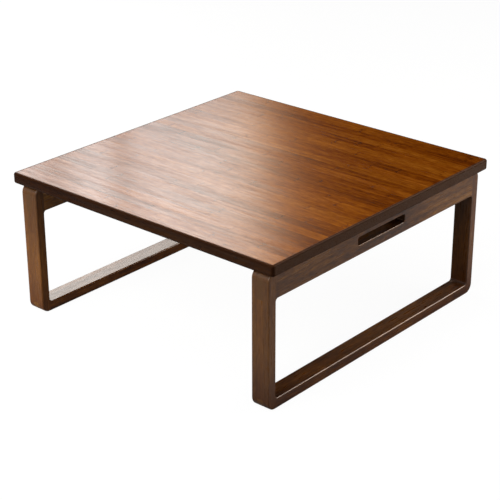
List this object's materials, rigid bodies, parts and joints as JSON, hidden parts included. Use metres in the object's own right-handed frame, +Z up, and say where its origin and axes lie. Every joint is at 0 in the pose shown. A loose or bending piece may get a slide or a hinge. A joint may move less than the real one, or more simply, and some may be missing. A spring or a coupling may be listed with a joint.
{
  "type": "folding low table",
  "caption": "Square low floor table in dark-stained laminated bamboo; closed sled leg frames with hand slots fold flat under the top on locking hinges.",
  "frame": {"origin": "on the floor, under the middle of the top", "axes": "+Z up, X along the grain of the top from the left frame to the right frame, Y along the frames"},
  "size_m": [0.6, 0.6, 0.266],
  "materials": {
    "stained_bamboo_top": "satin lacquer over brown stain",
    "stained_bamboo_frame": "satin lacquer over brown stain",
    "plated_sheet": "yellow zinc plate",
    "plated_lock": "yellow zinc plate, turned",
    "plated_fastener": "yellow zinc plate"
  },
  "bodies": {
    "top": {"table_top": "stained_bamboo_top", "hinge_rivets": "plated_fastener", "bracket_screws": "plated_fastener", "left_front_hinge_bracket": "plated_sheet", "left_front_lock_barrel": "plated_lock", "left_rear_hinge_bracket": "plated_sheet", "left_rear_lock_barrel": "plated_lock", "right_front_hinge_bracket": "plated_sheet", "right_front_lock_barrel": "plated_lock", "right_rear_hinge_bracket": "plated_sheet", "right_rear_lock_barrel": "plated_lock"},
    "left_frame": {"left_front_upright": "stained_bamboo_frame", "left_rear_upright": "stained_bamboo_frame", "left_floor_runner": "stained_bamboo_frame", "left_top_rail": "stained_bamboo_frame", "left_front_hinge_leaf": "plated_sheet", "left_rear_hinge_leaf": "plated_sheet", "left_leaf_screws": "plated_fastener"},
    "right_frame": {"right_front_upright": "stained_bamboo_frame", "right_rear_upright": "stained_bamboo_frame", "right_floor_runner": "stained_bamboo_frame", "right_top_rail": "stained_bamboo_frame", "right_front_hinge_leaf": "plated_sheet", "right_rear_hinge_leaf": "plated_sheet", "right_leaf_screws": "plated_fastener"},
    "left_front_lock": {"left_front_lock_pin": "plated_lock"},
    "left_rear_lock": {"left_rear_lock_pin": "plated_lock"},
    "right_front_lock": {"right_front_lock_pin": "plated_lock"},
    "right_rear_lock": {"right_rear_lock_pin": "plated_lock"}
  },
  "joints": [
    {"name": "left_frame_fold", "type": "hinge", "parent": "top", "child": "left_frame", "pos_m": [-0.2395, 0, 0.2265], "axis": [0, -1, 0], "range_deg": [0, 90]},
    {"name": "right_frame_fold", "type": "hinge", "parent": "top", "child": "right_frame", "pos_m": [0.2395, 0, 0.2265], "axis": [0, 1, 0], "range_deg": [0, 90]},
    {"name": "left_front_lock_slide", "type": "slide", "parent": "top", "child": "left_front_lock", "axis": [0, -1, 0], "range_m": [0, 0.0027], "stiffness_N_per_m": 300, "springref_m": 0.006},
    {"name": "left_rear_lock_slide", "type": "slide", "parent": "top", "child": "left_rear_lock", "axis": [0, 1, 0], "range_m": [0, 0.0027], "stiffness_N_per_m": 300, "springref_m": 0.006},
    {"name": "right_front_lock_slide", "type": "slide", "parent": "top", "child": "right_front_lock", "axis": [0, -1, 0], "range_m": [0, 0.0027], "stiffness_N_per_m": 300, "springref_m": 0.006},
    {"name": "right_rear_lock_slide", "type": "slide", "parent": "top", "child": "right_rear_lock", "axis": [0, 1, 0], "range_m": [0, 0.0027], "stiffness_N_per_m": 300, "springref_m": 0.006}
  ]
}
